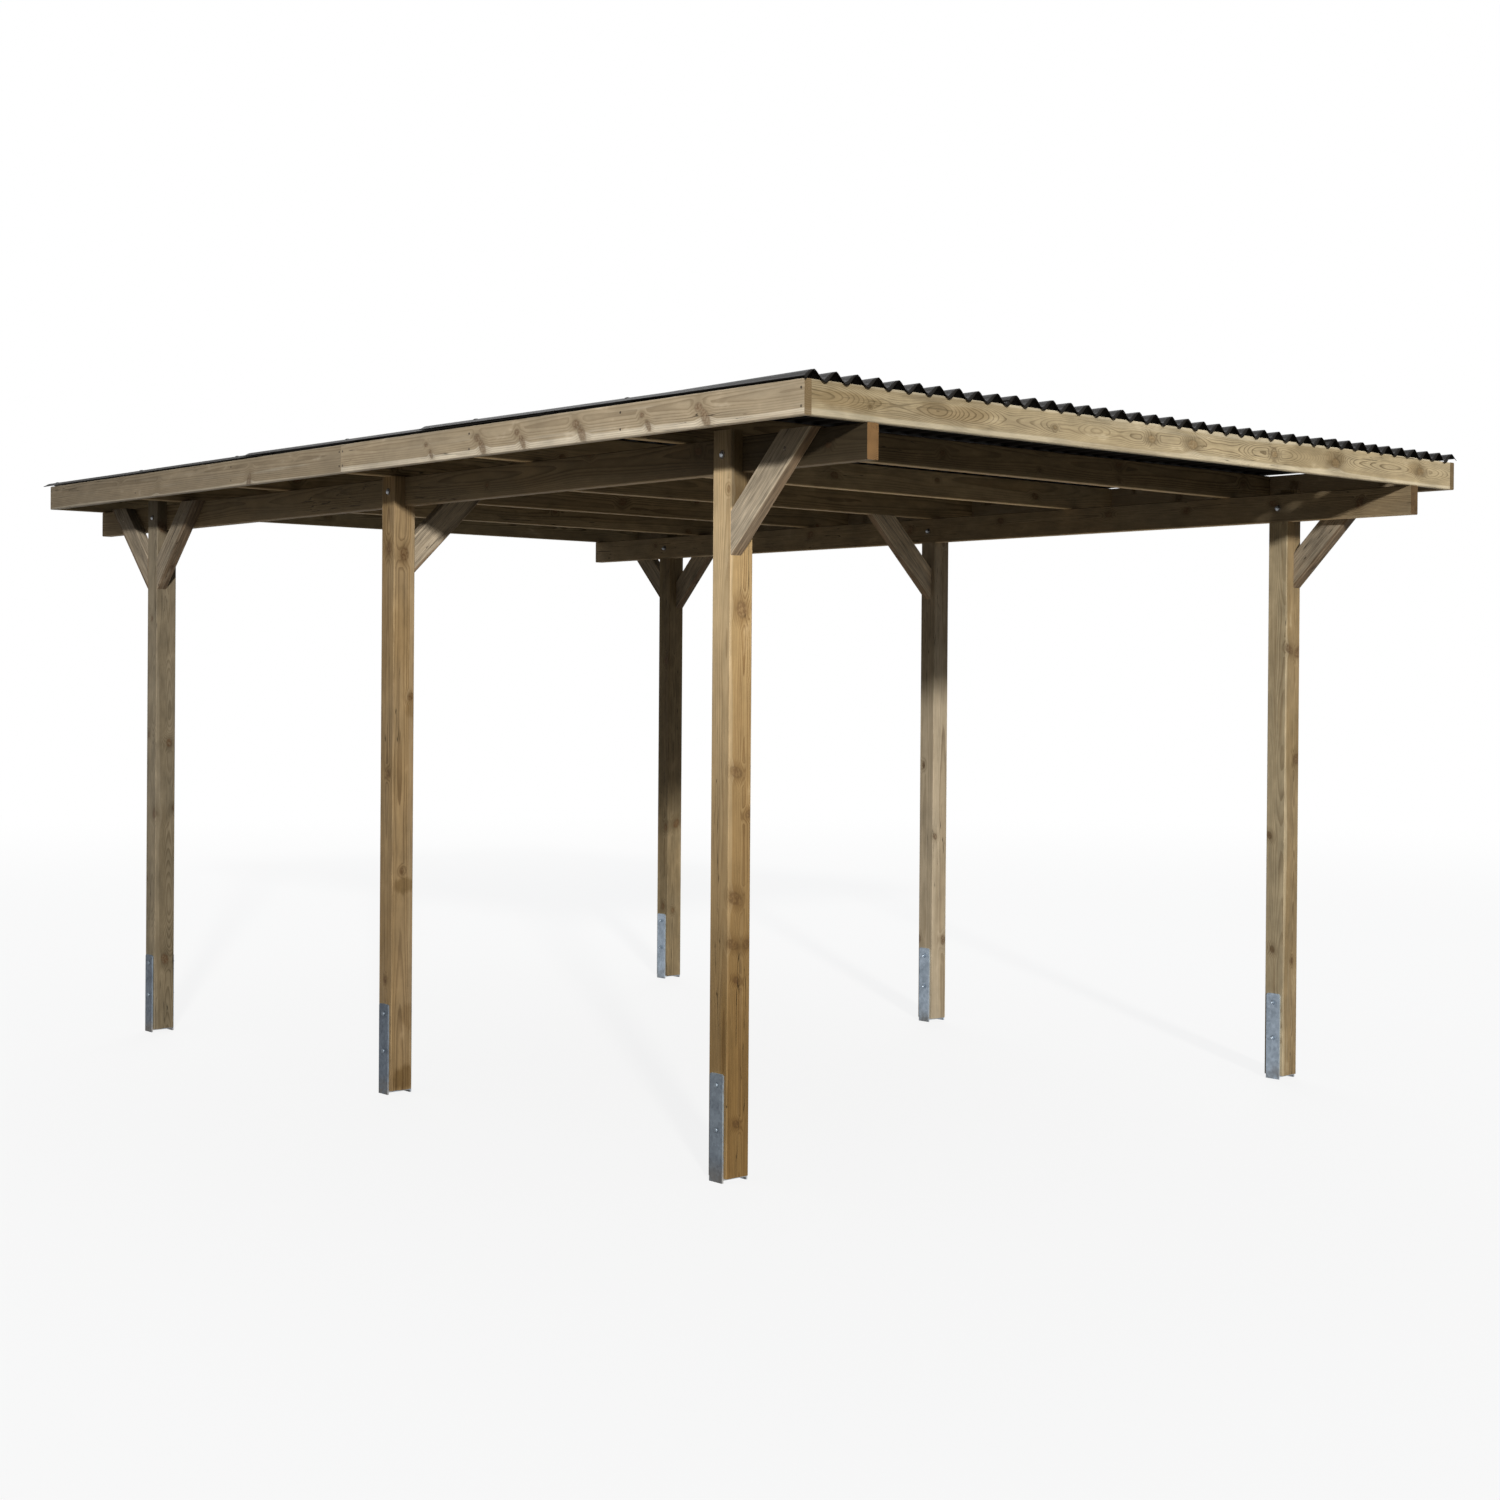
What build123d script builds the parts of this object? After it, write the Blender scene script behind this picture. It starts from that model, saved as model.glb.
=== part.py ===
from build123d import *
import os
from math import atan, ceil, degrees, pi, radians, sin, tan

# Open carport of treated timber under lapped corrugated sheets.
# Millimetres. X runs across it, Y from front to rear and Z up from the ground.
# The origin is at ground level, under the middle of the roof's outline.

# Posts
post_width = 90.0
frame_width = 2930.0
post_spacing = 2000.0
clear_height = 2220.0
tongue_thickness = 45.0
tongue_rise = 20.0
arris_width = 3.0

# Ground anchors
foot_height = 15.0
anchor_height = 340.0
anchor_plate_width = 64.0
anchor_plate_thickness = 6.0
anchor_web_thickness = 6.0
anchor_corner_radius = 9.0
anchor_side_clearance = 0.3

# Purlins, rafters and fascia boards
purlin_height = 110.0
rafter_height = 105.0
rafter_thickness = 45.0
rafter_count = 5
roof_frame_width = 3330.0
roof_frame_length = 5240.0
fascia_thickness = 27.0

# Braces
brace_width = 100.0
brace_thickness = 45.0
brace_drop = 262.0
brace_angle = 45.0

# Corrugated sheets
wave_pitch = 84.5
wave_height = 18.0
wave_facets = 12
sheet_thickness = 2.5
sheet_length = 2080.0
sheet_crest_count = 11
side_lap_count = 1
end_lap = 150.0
front_overhang = 10.0
rear_overhang = 70.0
sheet_clearance = 0.1

# Heights that the pieces share
purlin_top = clear_height + purlin_height
rafter_top = purlin_top + rafter_height

# Places across and along the frame
frame_middle = (front_overhang - rear_overhang) / 2
post_line = (frame_width - post_width) / 2
purlin_thickness = post_width - tongue_thickness
purlin_line = frame_width / 2 - tongue_thickness - purlin_thickness / 2
fascia_line = (roof_frame_width - fascia_thickness) / 2
rafter_length = roof_frame_width - 2 * fascia_thickness
rafter_bay = (roof_frame_length - fascia_thickness) / (rafter_count + 1)
rafter_steps = [index - (rafter_count - 1) / 2 for index in range(rafter_count)]
rafter_places = [frame_middle + step * rafter_bay for step in rafter_steps]
post_places = {
    "front": frame_middle - post_spacing,
    "middle": frame_middle,
    "rear": frame_middle + post_spacing,
}
sides = {"left": -1, "right": 1}


def timber(length, thickness, height):
    """A planed board along X, centred, with its long edges eased."""
    board = Box(length, thickness, height)
    return chamfer(board.edges().filter_by(Axis.X), arris_width)


def post(side, place):
    """A post whose head is rebated on the inside to seat the purlin."""
    crossed = any(abs(place - rafter) < (post_width + rafter_thickness) / 2 for rafter in rafter_places)
    top = purlin_top if crossed else purlin_top + tongue_rise
    height = top - foot_height
    stick = Rot(0, 90, 0) * timber(height, post_width, post_width)
    rebate = Pos(-side * post_width / 2, 0, clear_height) * Box(
        2 * purlin_thickness, 2 * post_width, 2 * purlin_height, align=(Align.CENTER, Align.CENTER, Align.MIN)
    )
    return Pos(side * post_line, place, 0) * (Pos(0, 0, foot_height + height / 2) * stick - rebate)


def anchor(side, place):
    """An H-shaped steel anchor from the ground up: two straps and the web that carries the post."""
    outline = Rectangle(anchor_plate_width, anchor_height, align=(Align.CENTER, Align.MIN))
    outline = fillet(outline.vertices().group_by(Axis.Y)[-1], anchor_corner_radius)
    strap = extrude(Plane.YZ * outline, anchor_plate_thickness)
    reach = post_width / 2 + anchor_side_clearance
    web = Pos(0, 0, foot_height) * Box(
        2 * reach, anchor_plate_width, anchor_web_thickness, align=(Align.CENTER, Align.CENTER, Align.MAX)
    )
    body = web + Pos(reach, 0, 0) * strap + Pos(-reach - anchor_plate_thickness, 0, 0) * strap
    return Pos(side * post_line, place, 0) * body


def purlin(side):
    """A purlin that lies on the rebates of one row of posts."""
    beam = Rot(0, 0, 90) * timber(roof_frame_length, purlin_thickness, purlin_height)
    return Pos(side * purlin_line, frame_middle, clear_height + purlin_height / 2) * beam


def rafter(place):
    """A rafter across both purlins, between the side boards."""
    return Pos(0, place, purlin_top + rafter_height / 2) * timber(rafter_length, rafter_thickness, rafter_height)


def cross_fascia(end):
    """The board at the front or rear, set between the side boards on the purlins."""
    place = frame_middle + end * (roof_frame_length - fascia_thickness) / 2
    return Pos(0, place, purlin_top + rafter_height / 2) * timber(rafter_length, fascia_thickness, rafter_height)


def side_fascia(side, end):
    """Half of a side board, butted to the other half on the middle rafter."""
    length = roof_frame_length / 2
    board = Rot(0, 0, 90) * timber(length, fascia_thickness, rafter_height)
    return Pos(side * fascia_line, frame_middle + end * length / 2, purlin_top + rafter_height / 2) * board


def brace():
    """A brace that rises towards +X from a plumb cut at X = 0 to a level cut at the purlins' tops."""
    rise = brace_drop + purlin_height
    run = rise / tan(radians(brace_angle))
    long_edge = rise / sin(radians(brace_angle))
    board = timber(2 * long_edge, brace_thickness, brace_width)
    board = Rot(0, -brace_angle, 0) * (Pos(long_edge / 2, 0, brace_width / 2) * board)
    corner = Plane.XZ * Polyline((0, 0), (run, rise), (0, rise), close=True)
    space = extrude(make_face(corner), brace_thickness, both=True)
    return Pos(0, 0, clear_height - brace_drop) * (board & space)


def long_brace(side, place, end):
    """A brace along the carport, from its post's side up onto the outside of the purlin."""
    across = side * (frame_width / 2 - tongue_thickness + brace_thickness / 2)
    return Pos(across, place + end * post_width / 2, 0) * Rot(0, 0, end * 90) * brace()


def cross_brace(side):
    """A brace across the carport, from the middle post up to the middle rafter."""
    turn = 180 if side > 0 else 0
    return Pos(side * (post_line - post_width / 2), frame_middle, 0) * Rot(0, 0, turn) * brace()


def wave_line(crests):
    """Points along a sheet's wave, from half way up its first crest to half way down its last."""
    steps = range((2 * crests - 1) * wave_facets // 2 + 1)
    return [
        (step * wave_pitch / wave_facets, wave_height / 2 * (1 + sin(2 * pi * step / wave_facets)))
        for step in steps
    ]


def sheet(crests):
    """A corrugated sheet with its front left corner over the origin and its waves along Y."""
    lower = wave_line(crests)
    upper = [(across, up + sheet_thickness) for across, up in reversed(lower)]
    section = make_face(Polyline(*lower, *upper, close=True))
    return extrude(Plane.XZ * section, -sheet_length)


def sheet_rows():
    """The front edge and the tilt of each row of sheets, from the rear row forward."""
    rear_edge = frame_middle + roof_frame_length / 2 + rear_overhang
    rear = rear_edge - sheet_length
    middle = rear + end_lap - sheet_length
    front = frame_middle - roof_frame_length / 2 - front_overhang
    lift = 2 * (sheet_thickness + sheet_clearance)
    return {
        "rear": (rear, 0),
        "middle": (middle, degrees(atan(lift / (rear - middle)))),
        "front": (front, degrees(atan(lift / (middle - front)))),
    }


def roof_sheets():
    """Every sheet by name: each second column lies on its neighbours and each row laps the one behind."""
    roof_crests = ceil((2 * roof_frame_width / wave_pitch + 1) / 2)
    cover_crests = sheet_crest_count - side_lap_count
    columns = ceil((roof_crests - side_lap_count) / cover_crests)
    roof_width = (2 * roof_crests - 1) * wave_pitch / 2
    sheets = {}
    for row, (front_edge, tilt) in sheet_rows().items():
        for column in range(columns):
            crests = min(sheet_crest_count, roof_crests - column * cover_crests)
            across = column * cover_crests * wave_pitch - roof_width / 2
            up = rafter_top + column % 2 * (sheet_thickness + sheet_clearance)
            place = Pos(across, front_edge, up) * Rot(tilt, 0, 0)
            sheets[f"roof_sheet_{row}_{column + 1}"] = place * sheet(crests)
    return sheets


def carport():
    """All pieces by node name."""
    pieces = {}
    for name, side in sides.items():
        for end, place in post_places.items():
            pieces[f"post_{name}_{end}"] = post(side, place)
            pieces[f"anchor_{name}_{end}"] = anchor(side, place)
        pieces[f"purlin_{name}"] = purlin(side)
        pieces[f"brace_{name}_front_forward"] = long_brace(side, post_places["front"], -1)
        pieces[f"brace_{name}_middle_inward"] = cross_brace(side)
        pieces[f"brace_{name}_rear_forward"] = long_brace(side, post_places["rear"], -1)
        pieces[f"brace_{name}_rear_backward"] = long_brace(side, post_places["rear"], 1)
        pieces[f"fascia_{name}_front"] = side_fascia(side, -1)
        pieces[f"fascia_{name}_rear"] = side_fascia(side, 1)
    for index, place in enumerate(rafter_places):
        pieces[f"rafter_{index + 1}"] = rafter(place)
    pieces["fascia_front"] = cross_fascia(-1)
    pieces["fascia_rear"] = cross_fascia(1)
    return pieces | roof_sheets()


os.makedirs("parts", exist_ok=True)
for node, piece in carport().items():
    export_step(piece, f"parts/{node}.step")
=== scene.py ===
import logging
import math
import random
from dataclasses import dataclass, replace
from enum import Enum
from functools import lru_cache, reduce
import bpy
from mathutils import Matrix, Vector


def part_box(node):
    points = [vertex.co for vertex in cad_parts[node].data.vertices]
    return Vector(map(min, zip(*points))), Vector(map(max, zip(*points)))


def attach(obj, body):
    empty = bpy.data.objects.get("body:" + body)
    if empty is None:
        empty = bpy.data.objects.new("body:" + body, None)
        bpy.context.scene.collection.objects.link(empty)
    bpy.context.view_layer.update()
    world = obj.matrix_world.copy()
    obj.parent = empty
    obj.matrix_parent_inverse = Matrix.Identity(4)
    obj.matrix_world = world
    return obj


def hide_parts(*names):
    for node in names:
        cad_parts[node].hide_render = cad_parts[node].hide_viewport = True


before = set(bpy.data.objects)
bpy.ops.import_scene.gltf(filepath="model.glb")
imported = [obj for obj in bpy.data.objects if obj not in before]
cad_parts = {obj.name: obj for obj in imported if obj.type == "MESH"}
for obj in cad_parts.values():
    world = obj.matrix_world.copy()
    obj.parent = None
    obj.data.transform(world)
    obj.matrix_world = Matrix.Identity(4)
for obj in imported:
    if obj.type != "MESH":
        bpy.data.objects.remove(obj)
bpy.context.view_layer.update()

from types import MappingProxyType
from typing import Callable, Iterable, Mapping, Sequence, Union

import bmesh
import bpy
from mathutils import Matrix, Vector
from mathutils import noise as solid_noise

log = logging.getLogger("carport")
logging.basicConfig(level=logging.INFO, format="%(message)s")

Colour = tuple[float, float, float]
Number = Union["Signal", float]
Point = tuple[float, float, float]
Branch = tuple[Point, Point, float]

ACROSS, ALONG, UP = Vector((1, 0, 0)), Vector((0, 1, 0)), Vector((0, 0, 1))
SIDES = {"left": -ACROSS, "right": ACROSS}
PLACES = ("front", "middle", "rear")
NOTHING: Mapping = MappingProxyType({})


@lru_cache(maxsize=None)
def box_of(node: str) -> tuple[Vector, Vector]:
    """The lowest and the highest corner of a solid, read once."""
    low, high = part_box(node)
    return Vector(low), Vector(high)


def outer_face(row: str, node: str) -> float:
    """The place across the carport of a solid's outward face."""
    return box_of(node)[1 if row == "right" else 0].x


def grey(level: float) -> Colour:
    """A tint that changes only how bright a colour is."""
    return (level, level, level)


def sums(operation: str, flipped: bool = False) -> Callable[..., "Signal"]:
    """Makes a method of Signal that adds one Math node.

    Args:
        operation: Blender's name for the sum.
        flipped: Whether the signal itself goes in last.

    Returns:
        The method.
    """
    def method(self: "Signal", *others: Number) -> "Signal":
        """The sum of the signal and the other numbers."""
        return self.math(operation, *((*others, self) if flipped else (self, *others)))
    return method


class Signal:
    """A number that changes over a surface. Sums with it add Math nodes."""

    __add__, __radd__ = sums("ADD"), sums("ADD", flipped=True)
    __sub__, __rsub__ = sums("SUBTRACT"), sums("SUBTRACT", flipped=True)
    __mul__, __rmul__ = sums("MULTIPLY"), sums("MULTIPLY", flipped=True)
    __truediv__, __abs__, fraction = sums("DIVIDE"), sums("ABSOLUTE"), sums("FRACT")
    least, most = sums("MINIMUM"), sums("MAXIMUM")

    def __init__(self, shader: "Shader", socket: bpy.types.NodeSocket) -> None:
        """Wraps a socket of a shader."""
        self.shader = shader
        self.socket = socket

    def math(self, operation: str, *terms: Number) -> "Signal":
        """Adds a Math node for an operation on terms, in order, and gives its result."""
        made = self.shader.node("ShaderNodeMath", {"operation": operation}, dict(enumerate(terms)))
        return Signal(self.shader, made.outputs[0])

    def step(self, low: float, high: float) -> "Signal":
        """A soft step.

        Args:
            low: Where the step begins.
            high: Where it ends. It may be the lower of the two, for a step down.

        Returns:
            0 before the step and 1 after it.
        """
        settings = {"interpolation_type": "SMOOTHSTEP", "clamp": True}
        if low < high:
            made = self.shader.node("ShaderNodeMapRange", settings, {0: self, 1: low, 2: high, 3: 0.0, 4: 1.0})
        else:
            made = self.shader.node("ShaderNodeMapRange", settings, {0: self, 1: high, 2: low, 3: 1.0, 4: 0.0})
        return Signal(self.shader, made.outputs[0])


class Shader:
    """A node tree in the making."""

    def __init__(self, tree: bpy.types.NodeTree) -> None:
        """Empties the tree of a material or of the world."""
        self.tree = tree
        tree.nodes.clear()

    def node(self, kind: str, settings: Mapping[str, object] = NOTHING,
             sockets: Mapping[Union[str, int], object] = NOTHING) -> bpy.types.Node:
        """Adds a node.

        Args:
            kind: Blender's name for the type of node.
            settings: Its settings, which are set first.
            sockets: Values or links for its inputs, by name or by number.

        Returns:
            The node.
        """
        made = self.tree.nodes.new(kind)
        for name, value in settings.items():
            setattr(made, name, value)
        for key, value in sockets.items():
            source = value.socket if isinstance(value, Signal) else value
            if isinstance(source, bpy.types.NodeSocket):
                self.tree.links.new(source, made.inputs[key])
            else:
                made.inputs[key].default_value = source
        return made

    def place(self) -> bpy.types.NodeSocket:
        """Where a point of the surface lies in the carport's frame."""
        return self.node("ShaderNodeTexCoord").outputs["Object"]

    def vector(self, operation: str, *terms: object) -> bpy.types.NodeSocket:
        """Adds a Vector Math node for an operation on vectors, in order, and gives the resulting vector."""
        return self.node("ShaderNodeVectorMath", {"operation": operation}, dict(enumerate(terms))).outputs[0]

    def dot(self, one: object, other: object) -> Signal:
        """The dot product of two vectors."""
        made = self.node("ShaderNodeVectorMath", {"operation": "DOT_PRODUCT"}, {0: one, 1: other})
        return Signal(self, made.outputs["Value"])

    def length(self, one: object) -> Signal:
        """The length of a vector."""
        made = self.node("ShaderNodeVectorMath", {"operation": "LENGTH"}, {0: one})
        return Signal(self, made.outputs["Value"])

    def scaled(self, one: object, by: Number) -> bpy.types.NodeSocket:
        """A vector or a colour times a number."""
        return self.node("ShaderNodeVectorMath", {"operation": "SCALE"}, {0: one, "Scale": by}).outputs[0]

    def joined(self, x: Number, y: Number, z: Number) -> bpy.types.NodeSocket:
        """A vector of three numbers."""
        return self.node("ShaderNodeCombineXYZ", {}, {0: x, 1: y, 2: z}).outputs[0]

    def noise(self, at: object, scale: float, detail: float = 2.0, roughness: float = 0.5) -> Signal:
        """Soft noise around one half.

        Args:
            at: The place.
            scale: How many lumps to a metre.
            detail: How many finer layers are added.
            roughness: How strong the finer layers are.

        Returns:
            The noise, from 0 to 1.
        """
        made = self.node("ShaderNodeTexNoise", {"noise_dimensions": "3D"},
                         {"Vector": at, "Scale": scale, "Detail": detail, "Roughness": roughness})
        return Signal(self, made.outputs[0])

    def cells(self, at: object, scale: float) -> Signal:
        """Patches of one random value each.

        Args:
            at: The place.
            scale: How many patches to a metre.

        Returns:
            The value of the patch, from 0 to 1.
        """
        made = self.node("ShaderNodeTexVoronoi", {"feature": "F1"}, {"Vector": at, "Scale": scale})
        split = self.node("ShaderNodeSeparateColor", {}, {0: made.outputs["Color"]})
        return Signal(self, split.outputs[0])

    def mix(self, share: Number, one: object, other: object) -> bpy.types.NodeSocket:
        """Mixes two colours.

        Args:
            share: How much of the second colour there is.
            one: The first colour.
            other: The second colour.

        Returns:
            The mixed colour.
        """
        ends = [(*end, 1.0) if isinstance(end, tuple) else end for end in (one, other)]
        made = self.node("ShaderNodeMix", {"data_type": "RGBA", "clamp_factor": True},
                         {0: share, 6: ends[0], 7: ends[1]})
        return made.outputs[2]

    def bump(self, height: Signal, depth: float, strength: float) -> bpy.types.NodeSocket:
        """Turns a height from 0 to 1 into a normal. The depth is what a height of 1 measures, in metres."""
        return self.node("ShaderNodeBump", {}, {"Height": height, "Distance": depth, "Strength": strength}).outputs[0]

    def surface(self, **sockets: object) -> None:
        """Ends a material with a Principled shader.

        Args:
            sockets: Its inputs, with an underscore for each space in a name.
        """
        named = {name.replace("_", " "): value for name, value in sockets.items()}
        made = self.node("ShaderNodeBsdfPrincipled", {}, named)
        self.node("ShaderNodeOutputMaterial", {}, {"Surface": made.outputs[0]})


def new_material(name: str) -> tuple[bpy.types.Material, Shader]:
    """Starts a material.

    Args:
        name: The material's name.

    Returns:
        The material and its shader.
    """
    made = bpy.data.materials.new(name)
    made.use_nodes = True
    return made, Shader(made.node_tree)


@dataclass(frozen=True)
class Tone:
    """The colours of one batch of treated softwood."""

    early: Colour
    late: Colour
    sap: Colour
    knot: Colour = (0.085, 0.042, 0.018)
    weather: Colour = (0.27, 0.235, 0.18)
    weather_share: float = 0.3
    ring_gap: float = 0.0052
    sawn_end: Colour = (0.30, 0.16, 0.065)
    figure: float = 1.0
    grain: float = 0.2
    late_start: float = 0.35
    # Painted light: how much brighter the downward faces are made, standing in for light bounced up from the ground.
    under: float = 0.0


class Batch(Enum):
    """The batches of timber that the carport is made of."""

    GOLDEN = Tone((0.47, 0.325, 0.152), (0.255, 0.155, 0.064), (0.585, 0.44, 0.25),
                  knot=(0.19, 0.112, 0.052), weather_share=0.08)
    HONEY = Tone((0.29, 0.20, 0.10), (0.145, 0.09, 0.04), (0.34, 0.25, 0.145), weather_share=0.15, figure=1.25)
    AMBER = Tone((0.29, 0.208, 0.108), (0.16, 0.105, 0.05), (0.45, 0.365, 0.235), weather_share=0.12, figure=1.5)
    SANDY = Tone((0.38, 0.305, 0.205), (0.21, 0.16, 0.10), (0.45, 0.375, 0.27))
    OLIVE = Tone((0.20, 0.16, 0.102), (0.112, 0.085, 0.05), (0.25, 0.205, 0.138),
                 weather=(0.18, 0.16, 0.12), ring_gap=0.004, figure=1.7)
    BEIGE = Tone((0.50, 0.405, 0.28), (0.335, 0.26, 0.17), (0.86, 0.77, 0.62), knot=(0.17, 0.105, 0.06),
                 weather=(0.32, 0.27, 0.20), ring_gap=0.0066, sawn_end=(0.14, 0.098, 0.046))
    STRAW = Tone((0.43, 0.348, 0.216), (0.185, 0.14, 0.08), (0.595, 0.52, 0.375), knot=(0.25, 0.175, 0.09),
                 weather_share=0.15, ring_gap=0.0034, sawn_end=(0.22, 0.14, 0.07), late_start=0.58, figure=1.5)
    # UMBER's under gain is painted light on its undersides.
    UMBER = Tone((0.21, 0.155, 0.085), (0.10, 0.068, 0.034), (0.26, 0.20, 0.118),
                 weather=(0.15, 0.125, 0.085), sawn_end=(0.06, 0.035, 0.014), figure=1.7, under=2.0)
    DRIFT = Tone((0.25, 0.175, 0.11), (0.14, 0.093, 0.055), (0.50, 0.425, 0.32),
                 weather=(0.34, 0.30, 0.24), figure=1.7, grain=1.9)
    # PEAT is dark partly as painted shade for the left purlin's outer face, and its under gain is painted light on its
    # undersides.
    PEAT = Tone((0.115, 0.085, 0.048), (0.06, 0.042, 0.022), (0.14, 0.105, 0.062),
                weather=(0.09, 0.073, 0.048), sawn_end=(0.52, 0.295, 0.125), under=3.5)


@dataclass(frozen=True)
class Knot:
    """A branch that was left in a board."""

    station: float
    way: float
    radius: float
    lean: float = 0.2


@dataclass(frozen=True)
class Heart:
    """A patch of darker heartwood on a board's face."""

    station: float
    wide: float
    half_length: float
    half_wide: float
    tint: Colour


@dataclass(frozen=True)
class PaintedShade:
    """Painted shade: darker timber over a line, on the faces that look one way, standing in for a shadow."""

    line: float
    level: float
    way: Point
    soft: float = 0.009


@dataclass(frozen=True)
class Cut:
    """How a board was sawn from its log, and how its colour drifts from its low end to its high end."""

    batch: Batch
    pith: tuple[float, float]
    sap_radius: float
    low_tint: Colour
    high_tint: Colour
    knot_gap: float = 0.42
    knot_size: float = 0.011
    sway: float = 0.034
    taper: float = 0.0035
    wander: float = 0.0
    # The share of the batch's painted underside light that this board gets.
    under: float = 1.0
    knots: tuple[Knot, ...] = ()
    turn: tuple[float, float] = (-0.1, 1.1)
    # Painted shade: lines above which faces are darkened to stand in for shadow.
    painted_shades: tuple[PaintedShade, ...] = ()
    hearts: tuple[Heart, ...] = ()


@dataclass(frozen=True)
class Board:
    """One sawn piece: how it lies and how it was cut."""

    node: str
    cut: Cut
    middle: Vector
    along: Vector
    thick: Vector
    half_length: float
    half_thick: float
    half_wide: float

    @property
    def wide(self) -> Vector:
        """The direction of the board's width."""
        return self.along.cross(self.thick)

    @property
    def foot(self) -> float:
        """Where the board's middle lies along its own direction."""
        return self.middle.dot(self.along)

    def branches(self) -> list[Branch]:
        """The branches that cross the board: those that its cut names, or else grown ones.

        Returns:
            For each one a point on the log's pith, the branch's direction and its radius, in board terms.
        """
        chance, cut, found = random.Random(self.node), self.cut, []
        for knot in cut.knots:
            run = Vector((knot.lean, math.cos(knot.way), math.sin(knot.way)))
            found.append(((knot.station - self.foot, *cut.pith), tuple(run.normalized()), knot.radius))
        if found:
            return found
        flat = self.half_wide > 1.5 * self.half_thick
        boxed_heart = abs(cut.pith[0]) < self.half_thick
        place = -self.half_length + chance.uniform(0.08, cut.knot_gap)
        while place < self.half_length - 0.04:
            turn = chance.uniform(0, math.tau)
            for number in range(chance.choice((1, 1, 2) if flat else (1, 2, 3))):
                aim = (chance.uniform(-1, 1) * self.half_thick - cut.pith[0],
                       chance.uniform(-1, 1) * self.half_wide - cut.pith[1])
                if boxed_heart:
                    way = turn + 2.2 * number
                    if flat:
                        way = math.copysign(math.pi / 2, math.sin(turn)) + chance.uniform(-0.5, 0.5)
                    aim = (math.cos(way), math.sin(way))
                run = Vector((0.0, *aim)).normalized() + Vector((chance.uniform(0.1, 0.35), 0, 0))
                size = cut.knot_size * chance.uniform(0.55, 1.3)
                found.append(((place + chance.uniform(-0.03, 0.03), *cut.pith), tuple(run.normalized()), size))
            place += cut.knot_gap * chance.uniform(0.7, 1.4)
        return found


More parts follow.
